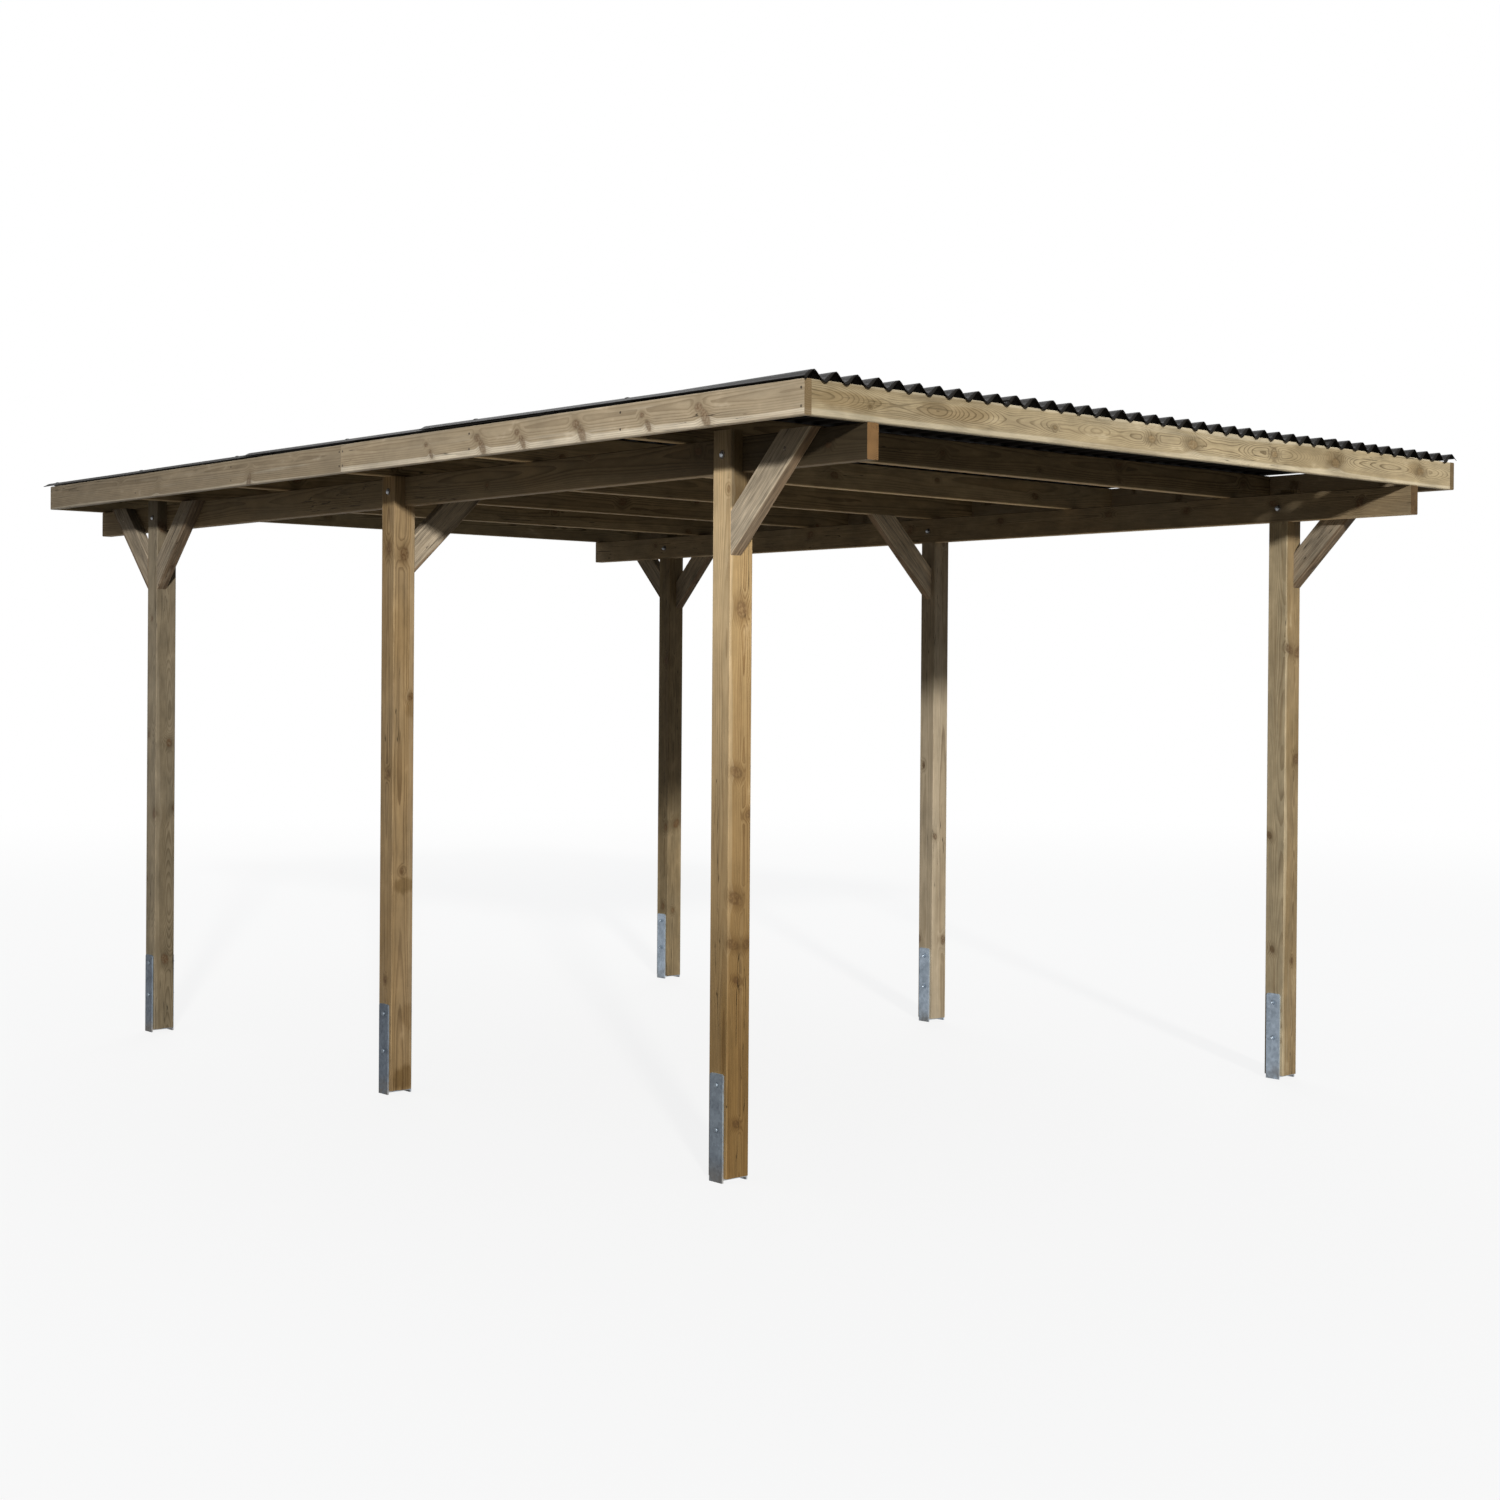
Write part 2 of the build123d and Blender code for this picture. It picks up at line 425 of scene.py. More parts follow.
class Wood:
    """The timber of one board as a solid: rings around its pith, with branches through them."""

    knot_rim: Colour = (0.035, 0.018, 0.009)
    arris_reach: tuple[float, float] = (0.007, 0.001)
    relief: float = 0.0011

    def __init__(self, board: Board) -> None:
        """Starts the board's material.

        Args:
            board: The board.
        """
        self.board, self.cut, self.tone = board, board.cut, board.cut.batch.value
        self.made, self.shader = new_material(f"timber_{board.node}")
        chance, shader = random.Random(board.node + " grain"), self.shader
        shift = tuple(chance.uniform(-50, 50) for _ in range(3))
        self.at, self.facing = shader.place(), shader.node("ShaderNodeNewGeometry").outputs["Normal"]
        offset = shader.vector("SUBTRACT", self.at, tuple(board.middle))
        self.length, self.thick, self.wide = (
            shader.dot(offset, tuple(way)) for way in (board.along, board.thick, board.wide))
        self.local = shader.joined(self.length, self.thick, self.wide)
        self.drawn = shader.vector("ADD", self.local, shift)
        self.fibre, self.streak = self.grain(14, 700, 2.0, 0.65), self.grain(1.3, 40, 3.0, 0.6)
        self.mottle, self.rough = self.grain(8, 20, 3.0, 0.6), self.grain(45, 60, 2.0)
        self.split = abs(self.grain(2.0, 75) - 0.5).step(0.011, 0.002) * self.grain(1.6, 9, 0.0).step(0.56, 0.64)
        self.end = abs(shader.dot(self.facing, tuple(board.along))).step(0.45, 0.6)
        self.drift = (self.length / (2.0 * board.half_length) + 0.5).step(*self.cut.turn)
        self.knot = reduce(Signal.least, [self.away(*branch) for branch in board.branches()]) + (self.rough - 0.5) * 0.7
        self.push = self.knot.step(3.0, 0.6)
        self.late, self.radius = self.rings()

    def grain(self, lengthwise: float, crosswise: float, detail: float = 1.0, roughness: float = 0.5) -> Signal:
        """Noise that is drawn out along the board, by its lumps to a metre along and across it."""
        at = self.shader.vector("MULTIPLY", self.drawn, (lengthwise, crosswise, crosswise))
        return self.shader.noise(at, 1.0, detail, roughness)

    def away(self, start: Point, run: Point, size: float) -> Signal:
        """Measures how far a point of the board lies from one branch.

        Args:
            start: Where the branch leaves the pith.
            run: The branch's direction.
            size: Its radius.

        Returns:
            The distance from the branch's axis, in radii.
        """
        shader = self.shader
        offset = shader.vector("MULTIPLY", shader.vector("SUBTRACT", self.local, start), (0.68, 1.0, 1.0))
        behind = (shader.dot(offset, run) * -1.0).most(0.0)
        aside = shader.length(shader.vector("SUBTRACT", offset, shader.vector("PROJECT", offset, run)))
        return (aside + behind * 3.0) / size

    def rings(self) -> tuple[Signal, Signal]:
        """Grows the rings.

        Returns:
            The share of late wood, and the distance from the pith.
        """
        cut, tone, shader = self.cut, self.tone, self.shader
        sway, lean = ((self.grain(*lumps) - 0.5) * cut.sway for lumps in ((1.1, 0.2), (1.36, 0.425)))
        ripple = (self.grain(7, 42, 2.0) - 0.5) * 0.0026
        out = shader.joined(0.0, self.thick - cut.pith[0] + sway, self.wide - cut.pith[1] + lean)
        radius = shader.length(out) + ripple + self.push * 0.009
        grown = radius + self.length * cut.taper
        if cut.wander:
            grown = grown + (self.grain(1.5, 0.0, 2.0, 0.45) - 0.5) * (2.0 * cut.wander)
        ring = (grown / tone.ring_gap).fraction()
        late = ring.step(tone.late_start, 0.9) * ring.step(1.0, 0.95)
        return late * (0.45 + 0.55 * self.grain(2.5, 14).step(0.3, 0.65)), radius

    def colour(self, core: Signal, rim: Signal) -> bpy.types.NodeSocket:
        """Lays the colours of the wood over each other and tints them.

        Args:
            core: 1 in the knots' own wood.
            rim: 1 on the dark rims around it.

        Returns:
            The colour.
        """
        board, cut, tone, shader, late, end = self.board, self.cut, self.tone, self.shader, self.late, self.end
        sapwood = self.radius.step(cut.sap_radius - 0.003, cut.sap_radius + 0.002) * (0.9 - 0.45 * late)
        knot_wood = shader.mix(self.grain(110, 150, 2.0).step(0.4, 0.65) * 0.45, tone.knot, tone.early)
        begin, full = self.arris_reach
        arris = [abs(out).step(half - begin, half - full)
                 for out, half in ((self.thick, board.half_thick), (self.wide, board.half_wide))]
        layers = (
            (sapwood, tone.sap),
            (self.streak.step(0.5, 0.78) * 0.6, tone.late),
            (self.streak.step(0.45, 0.2) * 0.5, tone.sap),
            (self.mottle.step(0.6, 0.8) * 0.4, tone.sap),
            (self.grain(2.2, 5.0, 2.0).step(0.42, 0.72) * tone.weather_share, tone.weather),
            (self.push * (1.0 - 0.5 * sapwood) * 0.7, tone.late),
            (core * 0.72, knot_wood),
            (rim * 0.22, self.knot_rim),
            (arris[0] * arris[1] * 0.35 * self.fibre.step(0.35, 0.6), tone.sap),
            (end * (0.95 - 0.3 * late), tone.sawn_end),
            (end * late * 0.6, tone.knot),
        )
        found = shader.mix(late * 0.95, tone.early, tone.late)
        for share, layer in layers:
            found = shader.mix(share, found, layer)
        found = shader.vector("MULTIPLY", found, shader.mix(self.drift, cut.low_tint, cut.high_tint))
        for heart in cut.hearts:
            out = shader.joined((self.length + board.foot - heart.station) / heart.half_length, 0.0,
                                (self.wide - heart.wide) / heart.half_wide)
            edge = shader.length(out) + (self.mottle - 0.5) * 1.2 + (self.streak - 0.5) * 0.8
            found = shader.vector("MULTIPLY", found, shader.mix(edge.step(1.1, 0.55), grey(1.0), heart.tint))
        return found

    def level(self) -> Signal:
        """Finds how bright the wood is, with painted light on its undersides and painted shade above its lines.

        Returns:
            What the colour is multiplied by.
        """
        cut, tone, shader = self.cut, self.tone, self.shader
        found = 1.0 + tone.figure * (0.40 * self.streak + 0.40 * self.fibre + 0.60 * self.mottle - 0.70)
        found = found + tone.grain * (self.grain(7, 130, 3.0, 0.65) - 0.5)
        # The splits are darkened: painted shade inside the cracks.
        found = found.most(0.15) * (1.0 - 0.72 * self.split)
        # Painted light: downward faces are brightened to stand in for light bounced up from the ground.
        if tone.under:
            painted_bounce = shader.dot(self.facing, tuple(UP)).step(-0.6, -0.9) * (1.0 - self.drift)
            found = found * (1.0 + tone.under * cut.under * painted_bounce)
        # Painted shade: faces that look one way are darkened above a line, standing in for shadow.
        for painted_shade in cut.painted_shades:
            above = shader.dot(self.at, tuple(UP)).step(painted_shade.line - painted_shade.soft, painted_shade.line + painted_shade.soft)
            painted_shadow = above * shader.dot(self.facing, painted_shade.way).step(0.5, 0.8)
            found = found * (1.0 - (1.0 - painted_shade.level) * painted_shadow)
        return found

    def material(self) -> bpy.types.Material:
        """Ends the board's material.

        Returns:
            The material.
        """
        knot, shader, fibre = self.knot, self.shader, self.fibre
        core = knot.step(1.15, 0.7)
        rim = knot.step(0.7, 0.95) * knot.step(1.3, 1.0) * self.rough.step(0.36, 0.56)
        raised = 0.5 + 0.2 * self.late + 0.22 * (fibre - 0.5) - 0.5 * self.split - 0.15 * rim
        shader.surface(
            Base_Color=shader.scaled(self.colour(core, rim), self.level()),
            Specular_IOR_Level=0.12,
            Roughness=0.6 + 0.22 * fibre + 0.1 * self.end - 0.12 * core,
            Normal=shader.bump(raised, self.relief, 0.75),
        )
        return self.made


@dataclass(frozen=True)
class Zinc:
    """Hot-dip galvanised steel, with its spangle and dull patches, and a painted highlight on the faces that do not
    look across the carport.
    """

    name: str
    bright: Colour
    dull: Colour
    grime: Colour = (0.12, 0.10, 0.075)
    spangle: float = 90.0
    roughness: float = 0.42
    # Painted highlight: how much brighter the faces that do not look across are made, standing in for the light they
    # catch.
    painted_highlight_gain: float = 0.0

    def material(self) -> bpy.types.Material:
        """Makes the finish.

        Returns:
            The material.
        """
        made, shader = new_material(self.name)
        at = shader.place()
        flake = shader.cells(shader.vector("ADD", at, shader.scaled(at, 0.03)), self.spangle)
        patch = shader.noise(at, 16.0, 4.0, 0.6)
        speck = shader.noise(at, 420.0, 2.0)
        colour = shader.mix(0.35 * flake + patch.step(0.35, 0.7) * 0.6, self.bright, self.dull)
        low = shader.dot(at, tuple(UP)).step(0.09, 0.0)
        grime = low * patch.step(0.3, 0.6) * 0.55
        colour = shader.mix(grime, colour, self.grime)
        facing = shader.node("ShaderNodeNewGeometry").outputs["Normal"]
        # Painted highlight: a strap's narrow edges and other faces that do not look across are brightened.
        edge = 1.0 - abs(shader.dot(facing, tuple(ACROSS))).step(0.3, 0.8)
        shader.surface(
            Base_Color=shader.scaled(colour, 0.9 + 0.2 * speck + self.painted_highlight_gain * edge),
            Metallic=0.9 - 0.5 * grime,
            Roughness=self.roughness + 0.16 * flake + 0.2 * grime,
            Normal=shader.bump(0.5 * flake + 0.5 * speck, 0.0002, 0.5),
        )
        return made


class Steel(Enum):
    """The finishes of the steel, by where it stands."""

    # These finishes brighten the faces that do not look across: a painted highlight.
    LEFT_FRONT = Zinc("zinc_left_front", (0.17, 0.20, 0.23), (0.088, 0.104, 0.126), painted_highlight_gain=2.2)
    LEFT = Zinc("zinc_left", (0.10, 0.122, 0.15), (0.052, 0.063, 0.08), painted_highlight_gain=2.2)
    RIGHT = Zinc("zinc_right", (0.34, 0.40, 0.47), (0.20, 0.24, 0.285), painted_highlight_gain=1.0)
    LEFT_BOLTS = Zinc("zinc_left_bolts", (0.17, 0.20, 0.23), (0.088, 0.104, 0.126), painted_highlight_gain=0.6)
    RIGHT_BOLTS = Zinc("zinc_right_bolts", (0.34, 0.40, 0.47), (0.20, 0.24, 0.285))
    FITTINGS = Zinc("zinc_fittings", (0.42, 0.44, 0.46), (0.20, 0.21, 0.22), roughness=0.36)
    NAILS = Zinc("zinc_nails", (0.15, 0.125, 0.095), (0.08, 0.062, 0.045), roughness=0.65)


@dataclass(frozen=True)
class Bitumen:
    """Black corrugated fibre sheet, dusty in its hollows."""

    name: str
    black: Colour = (0.0085, 0.0071, 0.0058)
    faded: Colour = (0.027, 0.0255, 0.0238)
    dust: Colour = (0.085, 0.08, 0.072)

    def material(self) -> bpy.types.Material:
        """Makes the finish.

        Returns:
            The material.
        """
        made, shader = new_material(self.name)
        at = shader.place()
        facing = shader.node("ShaderNodeNewGeometry").outputs["Normal"]
        upward = shader.dot(facing, tuple(UP))
        cloud = shader.noise(shader.vector("MULTIPLY", at, (3.0, 0.9, 3.0)), 1.4, 4.0, 0.6)
        grain = shader.noise(at, 900.0, 2.0, 0.7)
        weave = shader.noise(shader.vector("MULTIPLY", at, (420.0, 160.0, 420.0)), 1.0, 1.0)
        colour = shader.mix(upward.step(0.2, 1.0) * (0.35 + 0.5 * cloud), self.black, self.faded)
        settled = upward.step(0.9, 0.995) * cloud.step(0.45, 0.7) * grain.step(0.35, 0.6)
        colour = shader.mix(settled * 0.5, colour, self.dust)
        shader.surface(
            Base_Color=shader.scaled(colour, 0.75 + 0.5 * grain),
            Specular_IOR_Level=0.015,
            Roughness=0.5 + 0.2 * cloud + 0.2 * settled,
            Coat_Weight=upward.step(0.1, 0.6) * (0.13 - 0.09 * settled),
            Coat_Roughness=0.3,
            Normal=shader.bump(0.6 * grain + 0.4 * weave, 0.0006, 0.6),
        )
        return made


def finish_piece(piece: bpy.types.Object, material: bpy.types.Material, nodes: Iterable[str] = ()) -> None:
    """Dresses a new piece and sets it on the carport.

    Args:
        piece: The new piece.
        material: Its finish.
        nodes: The solids that it stands for.
    """
    piece.data.materials.append(material)
    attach(piece, "root")
    if nodes:
        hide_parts(*nodes)
    log.info("piece %s: %d faces", piece.name, len(piece.data.polygons))


def mesh_piece(name: str, mesh: bmesh.types.BMesh, smooth: bool = True) -> bpy.types.Object:
    """Turns a mesh in the making into an object of the scene.

    Args:
        name: The object's name.
        mesh: Its mesh, which is used up.
        smooth: Whether its faces are shaded as one curved surface.

    Returns:
        The object.
    """
    data = bpy.data.meshes.new(name)
    for face in mesh.faces:
        face.smooth = smooth
    mesh.to_mesh(data)
    mesh.free()
    made = bpy.data.objects.new(name, data)
    bpy.context.scene.collection.objects.link(made)
    return made


def turned(mesh: bmesh.types.BMesh, outline: Sequence[tuple[float, float]], at: Matrix, sides: int) -> None:
    """Adds a turned solid.

    Args:
        mesh: The mesh that it is added to.
        outline: Points of (radius, height), from the bottom to the top; a radius of 0 closes an end.
        at: Where its foot goes and which way its axis, local Z, points.
        sides: How many sides it has.
    """
    rings = []
    for radius, height in outline:
        if radius == 0:
            rings.append([mesh.verts.new(at @ Vector((0, 0, height)))])
            continue
        turns = [math.tau * side / sides for side in range(sides)]
        rings.append([mesh.verts.new(at @ Vector((radius * math.cos(t), radius * math.sin(t), height))) for t in turns])
    for low, high in zip(rings, rings[1:]):
        for side in range(max(len(low), len(high))):
            after = (side + 1) % sides
            if len(low) == 1:
                mesh.faces.new((low[0], high[after], high[side]))
            elif len(high) == 1:
                mesh.faces.new((low[side], low[after], high[0]))
            else:
                mesh.faces.new((low[side], low[after], high[after], high[side]))


def facing(place: Sequence[float], way: Vector) -> Matrix:
    """A frame at a place, with its Z along a direction."""
    return Matrix.Translation(Vector(place)) @ way.to_track_quat("Z", "Y").to_matrix().to_4x4()


@dataclass
class Hardware:
    """Bolts, nails and screws of the frame, all galvanised."""

    zinc: bpy.types.Material
    dull: bpy.types.Material
    slot: str = "galvanised_steel"
    bolt_radius: float = 0.005
    bolt_stub: float = 0.006
    washer_radius: float = 0.0135
    washer_thick: float = 0.0018
    head_radius: float = 0.0085
    head_rim: float = 0.0012
    head_crown: float = 0.0052
    nut_radius: float = 0.0092
    nut_height: float = 0.008
    nail_radius: float = 0.0042
    screw_radius: float = 0.0065
    round_sides: int = 28

    def washer(self, mesh: bmesh.types.BMesh, at: Matrix) -> Matrix:
        """Adds a washer.

        Args:
            mesh: The mesh that it is added to.
            at: Where it lies.

        Returns:
            The frame on top of it.
        """
        r, t = self.washer_radius, self.washer_thick
        turned(mesh, [(0, 0), (r, 0), (r, t * 0.7), (r - t * 0.3, t), (0, t)], at, self.round_sides)
        return at @ Matrix.Translation((0, 0, t))

    def dome(self, mesh: bmesh.types.BMesh, at: Matrix) -> None:
        """Adds the domed head of a coach bolt.

        Args:
            mesh: The mesh that it is added to.
            at: Where it sits.
        """
        r, rim, crown = self.head_radius, self.head_rim, self.head_crown
        turns = [step * math.pi / 12 for step in range(6)]
        arc = [(r * math.cos(turn), rim + crown * math.sin(turn)) for turn in turns]
        turned(mesh, [(0, 0), (r, 0), *arc, (0, rim + crown)], at, self.round_sides)

    def nut(self, mesh: bmesh.types.BMesh, at: Matrix) -> None:
        """Adds a nut with the end of its bolt.

        Args:
            mesh: The mesh that it is added to.
            at: Where it sits.
        """
        r, h, b, stub = self.nut_radius, self.nut_height, self.bolt_radius, self.bolt_stub
        turned(mesh, [(0, 0), (r, 0), (r, h * 0.86), (r * 0.86, h), (0, h)], at, 6)
        thread = [(b * (1.0 if step % 2 else 0.88), stub * step / 8) for step in range(9)]
        end = [(b * 0.7, stub * 1.15), (0, stub * 1.15)]
        turned(mesh, [*thread, *end], at @ Matrix.Translation((0, 0, h)), 18)

    def through_bolts(self, name: str, heads: Sequence[tuple[Point, Vector, bool]],
                      steel: bpy.types.Material, washers: bool) -> None:
        """Makes a set of bolt ends.

        Args:
            name: The name of the bolt ends' piece.
            heads: For each end its place, the way it faces and whether it is a domed head.
            steel: The finish of the bolt ends.
            washers: Whether a dull washer lies under each end.
        """
        mesh, discs = bmesh.new(), bmesh.new()
        for place, way, domed in heads:
            at = facing(place, way)
            if washers:
                at = self.washer(discs, at)
            if domed:
                self.dome(mesh, at)
            else:
                self.nut(mesh, at)
        finish_piece(mesh_piece(name, mesh, smooth=False), steel)
        if washers:
            finish_piece(mesh_piece(f"{name}_washers", discs, smooth=False), self.dull)
        else:
            discs.free()

    def nails(self, name: str, heads: Iterable[tuple[Point, Vector]], radius: float) -> None:
        """Makes a set of nail heads as one piece.

        Args:
            name: The piece's name.
            heads: For each nail its place and the way its head faces.
            radius: The radius of a head.
        """
        mesh = bmesh.new()
        rim = [(0, -0.001), (radius, -0.001), (radius, 0.0004), (radius * 0.8, 0.0011)]
        dimple = [(radius * 0.35, 0.0012), (radius * 0.3, 0.0006), (0, 0.0006)]
        for place, way in heads:
            turned(mesh, [*rim, *dimple], facing(place, way), 14)
        finish_piece(mesh_piece(name, mesh), self.dull)


@dataclass
class Frame:
    """The timber frame and its anchors: the solids, their finishes and their hardware."""

    hardware: Hardware
    steel: Mapping[Steel, bpy.types.Material]
    rafters: tuple[str, ...] = tuple(f"rafter_{number}" for number in range(1, 6))
    long_braces: tuple[str, ...] = ("front_forward", "rear_forward", "rear_backward")
    brace_width: float = 0.1
    head_bolt_rise: float = 0.053
    anchor_bolt_drops: tuple[float, float] = (0.036, 0.177)
    nail_inset: float = 0.014
    nail_rises: tuple[float, float] = (0.026, 0.079)
    butt_reach: float = 0.05
    butt_inset: float = 0.012
    screw_out: float = 0.255
    screw_up: float = 0.313

    @staticmethod
    def straight(node: str, cut: Cut) -> Board:
        """Reads how a straight board lies from its solid.

        Args:
            node: The board's solid.
            cut: How it was cut.

        Returns:
            The board.
        """
        low, high = box_of(node)
        size = high - low
        ways = {"post": (2, 0, 1), "purlin": (1, 2, 0), "rafter": (0, 2, 1)}
        order = ways.get(node.split("_")[0], (1, 2, 0) if size.y > size.x else (0, 2, 1))
        along, wide = ((ACROSS, ALONG, UP)[axis] for axis in order[:2])
        half = [size[axis] / 2 for axis in order]
        return Board(node, cut, (low + high) / 2, along, wide.cross(along), half[0], half[2], half[1])

    def slanted(self, node: str, cut: Cut) -> Board:
        """Reads how a brace lies from its solid.

        Args:
            node: The brace's solid.
            cut: How it was cut.

        Returns:
            The board.
        """
        low, high = box_of(node)
        size, half_wide = high - low, self.brace_width / 2
        flat = ALONG if size.x < size.y else ACROSS
        lean = 1 if node.endswith("backward") else -1
        if flat is ACROSS:
            lean = -1 if "right" in node else 1
        along = (flat * lean + UP).normalized()
        up_side = (UP - flat * lean).normalized()
        middle = (low + high) / 2 + up_side * half_wide
        half_length, half_thick = size.z / math.sqrt(2), min(size.x, size.y) / 2
        return Board(node, cut, middle, along, up_side.cross(along), half_length, half_thick, half_wide)

    def posts(self) -> list[Board]:
        """Lists the posts with their cuts.

        Returns:
            The posts.
        """
        # Painted shade on the left front post: its outer face above 2.225 m and its front face above 2.105 m are
        # darkened to stand in for shadow.
        painted_head_shade = (PaintedShade(2.225, 0.45, tuple(-ACROSS)), PaintedShade(2.105, 0.33, tuple(-ALONG)))
        golden_knots = (
            Knot(0.175, -0.9, 0.008), Knot(0.625, -1.0, 0.007), Knot(0.733, -1.23, 0.010), Knot(0.735, 0.88, 0.010),
            Knot(0.879, -1.13, 0.013), Knot(0.872, -0.5, 0.008), Knot(1.143, 1.08, 0.008), Knot(1.273, -1.1, 0.011),
            Knot(1.55, 2.6, 0.012), Knot(1.785, -0.6, 0.017), Knot(2.147, -1.5, 0.008))
        honey_knots = (
            Knot(0.42, -1.7, 0.009), Knot(0.83, 0.2, 0.008), Knot(1.20, -1.4, 0.010), Knot(1.484, 0.8, 0.009),
            Knot(1.62, 2.4, 0.012), Knot(2.026, 0.28, 0.017), Knot(2.05, -1.5, 0.016))
        honey_hearts = (
            Heart(0.06, 0.02, 0.05, 0.06, (0.62, 0.57, 0.48)), Heart(0.79, 0.01, 0.035, 0.06, (0.66, 0.62, 0.54)),
            Heart(0.29, 0.03, 0.06, 0.04, (0.80, 0.76, 0.70)), Heart(1.47, 0.03, 0.06, 0.03, (0.74, 0.70, 0.62)))
        reddish = (1.15, 1.08, 0.95)
        cuts = {
            "left_front": Cut(Batch.GOLDEN, (0.030, 0.012), 0.052, (0.45, 0.395, 0.31), (1.40, 1.44, 1.56),
                              turn=(0.1, 1.15), painted_shades=painted_head_shade, knots=golden_knots),
            "left_middle": Cut(Batch.HONEY, (0.004, -0.012), 0.056, (0.85, 0.83, 0.80), grey(1.15),
                               knots=honey_knots, hearts=honey_hearts),
            "left_rear": Cut(Batch.OLIVE, (0.018, 0.016), 0.055, grey(0.85), (0.97, 1.0, 1.08),
                             sway=0.05, wander=0.06),
            "right_front": Cut(Batch.AMBER, (0.030, 0.010), 0.050, (0.90, 0.92, 0.95), (1.1, 1.12, 1.14),
                               sway=0.05, wander=0.035),
            "right_middle": Cut(Batch.SANDY, (-0.010, 0.020), 0.058, grey(0.95), grey(1.05)),
            "right_rear": Cut(Batch.OLIVE, (0.020, -0.015), 0.055, reddish, reddish),
        }
        return [self.straight(f"post_{name}", replace(cut, knot_gap=0.40, knot_size=0.0125))
                for name, cut in cuts.items()]

    def side_boards(self) -> list[Board]:
        """Lists the fascia boards of the sides with their cuts.

        Returns:
            The boards.
        """
        drift = {"left_front": (1.14, 0.84), "left_rear": (0.69, 0.39),
                 "right_front": (0.9, 0.8), "right_rear": (0.8, 0.6)}
        stations = ((-2.17, 0.013), (-1.886, 0.008), (-1.534, 0.013),
                    (-1.196, 0.010), (-0.954, 0.012), (-0.628, 0.007))
        spikes = tuple(Knot(y + shift, way, size, lean) for y, size in stations
                       for way, shift, lean in ((-0.55, 0.01, -0.1), (-1.15, 0.0, -0.34)))
        found = []
        for name, (low, high) in drift.items():
            pith = (-0.008, 0.022) if "left" in name else (0.008, 0.022)
            knots, sap = (spikes, 0.058) if name == "left_front" else ((), 0.072)
            cut = Cut(Batch.BEIGE, pith, sap, grey(low), grey(high), 0.34, sway=0.02, knots=knots)
            found.append(self.straight(f"fascia_{name}", cut))
        return found

    def end_boards(self) -> list[Board]:
        """Lists the fascia boards of the front and the rear with their cuts.

        Returns:
            The boards.
        """
        eyes = tuple(Knot(x, math.pi + turn, size) for x, turn, size in (
            (-1.42, 0.25, 0.004), (-0.62, 0.1, 0.006), (-0.145, 0.05, 0.013), (0.068, 0.1, 0.017),
            (0.52, 0.1, 0.012), (0.884, 0.2, 0.018), (1.427, 0.0, 0.015)))
        hearts = (
            Heart(-1.05, 0.006, 0.2, 0.03, (0.78, 0.73, 0.66)), Heart(-1.5, 0.004, 0.2, 0.03, (0.78, 0.73, 0.65)),
            Heart(0.72, 0.0, 0.16, 0.05, (0.84, 0.82, 0.78)), Heart(0.884, 0.012, 0.07, 0.03, (0.8, 0.76, 0.7)),
            Heart(1.40, 0.012, 0.06, 0.03, (0.8, 0.76, 0.7)))
        front = Cut(Batch.STRAW, (0.022, 0.002), 0.055, grey(0.84), grey(1.02), sway=0.03, taper=0.03,
                    wander=0.11, knots=eyes, turn=(0.05, 0.5), hearts=hearts)
        rear = Cut(Batch.STRAW, (-0.045, 0.012), 0.078, grey(0.9), grey(0.9), 0.45)
        return [self.straight("fascia_front", front), self.straight("fascia_rear", rear)]

    def purlins(self) -> list[Board]:
        """Lists the purlins with their cuts.

        Returns:
            The purlins.
        """
        # Painted shade: the left purlin's low tint darkens its front end, standing in for shadow there. Both purlins'
        # batches also paint light on their undersides.
        left = Cut(Batch.PEAT, (-0.03, 0.02), 0.075, grey(0.5), grey(2.3), 0.5, turn=(0.05, 0.3))
        right = Cut(Batch.UMBER, (0.03, 0.02), 0.075, (1.6, 1.65, 1.8), (1.7, 1.75, 1.9), 0.5)
        return [self.straight("purlin_left", left), self.straight("purlin_right", right)]

    def braces(self) -> list[Board]:
        """Lists the braces with their cuts.

        Returns:
            The braces.
        """
        # The left middle brace's level is lowered partly as painted shade, for sunlight that does not reach it.
        levels = {"left_front_forward": 1.22, "left_middle_inward": 0.85, "left_rear_forward": 0.6,
                  "left_rear_backward": 0.6, "right_front_forward": 0.74, "right_middle_inward": 1.4,
                  "right_rear_forward": 0.75, "right_rear_backward": 0.75}
        found = []
        for name, level in levels.items():
            # Painted shade: the left front brace's outer face is darkened above 2.222 m, standing in for the roof's
            # shadow.
            painted_shadow = (PaintedShade(2.222, 0.55, tuple(-ACROSS)),) if name == "left_front_forward" else ()
            cut = Cut(Batch.DRIFT, (0.0, -0.062), 0.03, grey(level), grey(level), 0.3, 0.009, painted_shades=painted_shadow)
            found.append(self.slanted(f"brace_{name}", cut))
        return found

    def rafter_boards(self) -> list[Board]:
        """Lists the rafters with their cuts, whose painted underside light, standing in for ground bounce, fades
        towards the rear.

        Returns:
            The rafters.
        """
        found = []
        # Each rafter's share of the painted underside light.
        for number, (node, under) in enumerate(zip(self.rafters, (1.0, 0.7, 0.35, 0.2, 0.15)), 1):
            chance = random.Random(number)
            pith = (chance.uniform(0.03, 0.06), chance.uniform(-0.03, 0.03))
            level = grey(1.02 if number == 1 else 1.55)
            cut = Cut(Batch.UMBER, pith, 0.08, level, level, 0.6, turn=(1.0, 1.4), under=under)
            found.append(self.straight(node, cut))
        return found

